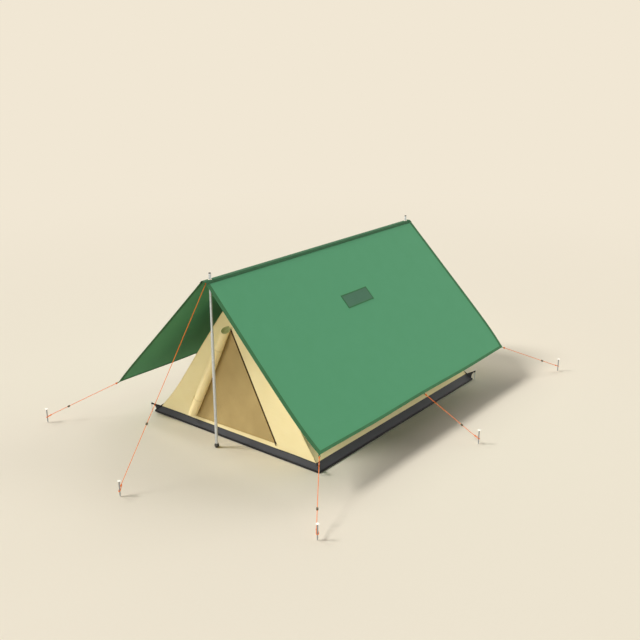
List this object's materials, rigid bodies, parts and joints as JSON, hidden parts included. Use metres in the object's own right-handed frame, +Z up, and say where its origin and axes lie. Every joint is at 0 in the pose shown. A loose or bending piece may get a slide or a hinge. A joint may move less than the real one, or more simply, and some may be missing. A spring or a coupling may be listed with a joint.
{
  "type": "ridge tent",
  "caption": "Ridge tent: a green flysheet over a cream inner tent on two upright poles, held by orange guy lines, pegs and sliding runners.",
  "frame": {"origin": "on the ground, below the middle of the ridge", "axes": "+Z up, the ridge along Y, the door facing -Y, +X to the right as seen from the door"},
  "size_m": [2.755, 3.9514, 1.222],
  "materials": {
    "fly_polyester": "plain woven cloth, matt",
    "fly_binding_tape": "doubled cloth and tape, matt",
    "inner_cotton": "light cotton, matt",
    "insect_mesh": "fine open net",
    "groundsheet_pvc": "coated cloth, dull",
    "black_webbing": "woven tape, matt",
    "zip_coil": "dark coil on tape",
    "galvanised_steel": "zinc coated, satin",
    "foot_rubber": "moulded, matt",
    "runner_plastic": "moulded, satin",
    "guy_line_cord": "braided cord, matt"
  },
  "bodies": {
    "tent": {"fly_panel_left": "fly_polyester", "fly_panel_right": "fly_polyester", "fly_binding_left": "fly_binding_tape", "fly_binding_right": "fly_binding_tape", "fly_ridge_band": "fly_binding_tape", "fly_patch": "fly_binding_tape", "fly_eyelet_front": "galvanised_steel", "fly_eyelet_rear": "galvanised_steel", "inner_wall_left": "inner_cotton", "inner_wall_right": "inner_cotton", "inner_wall_front": "inner_cotton", "inner_wall_rear": "inner_cotton", "groundsheet_tub": "groundsheet_pvc", "zip_half_wall": "zip_coil", "rolled_door": "inner_cotton", "door_tie_lower": "inner_cotton", "door_tie_upper": "inner_cotton", "apex_hanger_front": "black_webbing", "apex_hanger_rear": "black_webbing", "floor_peg_front_left": "galvanised_steel", "floor_peg_front_right": "galvanised_steel", "floor_peg_rear_left": "galvanised_steel", "floor_peg_rear_right": "galvanised_steel", "pole_foot_front": "foot_rubber", "pole_foot_rear": "foot_rubber", "pole_lower_front": "galvanised_steel", "pole_lower_rear": "galvanised_steel", "guy_line_front_left": "guy_line_cord", "guy_line_front_right": "guy_line_cord", "guy_line_rear_left": "guy_line_cord", "guy_line_rear_right": "guy_line_cord", "guy_line_middle_left": "guy_line_cord", "guy_line_middle_right": "guy_line_cord", "guy_line_ridge_front": "guy_line_cord", "guy_line_ridge_rear": "guy_line_cord", "guy_peg_front_left": "galvanised_steel", "guy_peg_front_right": "galvanised_steel", "guy_peg_rear_left": "galvanised_steel", "guy_peg_rear_right": "galvanised_steel", "guy_peg_middle_left": "galvanised_steel", "guy_peg_middle_right": "galvanised_steel", "guy_peg_ridge_front": "galvanised_steel", "guy_peg_ridge_rear": "galvanised_steel"},
    "pole_top_front": {"pole_upper_front": "galvanised_steel", "pole_cap_front": "foot_rubber"},
    "pole_top_rear": {"pole_upper_rear": "galvanised_steel", "pole_cap_rear": "foot_rubber"},
    "mesh_door": {"mesh_door": "insect_mesh", "zip_half_door": "zip_coil"},
    "zip_slider": {"zip_slider": "galvanised_steel"},
    "zip_puller": {"zip_puller": "galvanised_steel"},
    "runner_front_left": {"guy_runner_front_left": "runner_plastic"},
    "runner_front_right": {"guy_runner_front_right": "runner_plastic"},
    "runner_rear_left": {"guy_runner_rear_left": "runner_plastic"},
    "runner_rear_right": {"guy_runner_rear_right": "runner_plastic"},
    "runner_middle_left": {"guy_runner_middle_left": "runner_plastic"},
    "runner_middle_right": {"guy_runner_middle_right": "runner_plastic"},
    "runner_ridge_front": {"guy_runner_ridge_front": "runner_plastic"},
    "runner_ridge_rear": {"guy_runner_ridge_rear": "runner_plastic"}
  },
  "joints": [
    {"name": "pole_slide_front", "type": "slide", "parent": "tent", "child": "pole_top_front", "axis": [0, 0, 1], "range_m": [-0.035, 0]},
    {"name": "pole_slide_rear", "type": "slide", "parent": "tent", "child": "pole_top_rear", "axis": [0, 0, 1], "range_m": [-0.035, 0]},
    {"name": "mesh_door_hinge", "type": "hinge", "parent": "tent", "child": "mesh_door", "pos_m": [-0.39445, -0.96493, 0.06558], "axis": [0.3958, 0.099, 0.913], "range_deg": [0, 90]},
    {"name": "zip_slide", "type": "slide", "parent": "tent", "child": "zip_slider", "axis": [-0.5497, 0.0901, 0.8305], "range_m": [0, 0.74]},
    {"name": "zip_puller_pivot", "type": "hinge", "parent": "zip_slider", "child": "zip_puller", "pos_m": [0.37317, -0.96993, 0.08767], "axis": [-0.8354, -0.0592, -0.5465], "range_deg": [0, 150]},
    {"name": "runner_slide_front_left", "type": "slide", "parent": "tent", "child": "runner_front_left", "axis": [0.5662, 0.7298, 0.3831], "range_m": [-0.11, 0.35]},
    {"name": "runner_slide_front_right", "type": "slide", "parent": "tent", "child": "runner_front_right", "axis": [-0.5469, 0.7444, 0.3831], "range_m": [-0.11, 0.35]},
    {"name": "runner_slide_rear_left", "type": "slide", "parent": "tent", "child": "runner_rear_left", "axis": [0.5469, -0.7444, 0.3831], "range_m": [-0.11, 0.35]},
    {"name": "runner_slide_rear_right", "type": "slide", "parent": "tent", "child": "runner_rear_right", "axis": [-0.5662, -0.7298, 0.3831], "range_m": [-0.11, 0.35]},
    {"name": "runner_slide_middle_left", "type": "slide", "parent": "tent", "child": "runner_middle_left", "axis": [0.8998, -0.0138, 0.4362], "range_m": [-0.09, 0.31]},
    {"name": "runner_slide_middle_right", "type": "slide", "parent": "tent", "child": "runner_middle_right", "axis": [-0.8998, 0.0138, 0.4362], "range_m": [-0.09, 0.31]},
    {"name": "runner_slide_ridge_front", "type": "slide", "parent": "tent", "child": "runner_ridge_front", "axis": [0.0048, 0.578, 0.816], "range_m": [-0.37, 0.92]},
    {"name": "runner_slide_ridge_rear", "type": "slide", "parent": "tent", "child": "runner_ridge_rear", "axis": [-0.0048, -0.578, 0.816], "range_m": [-0.37, 0.92]}
  ]
}
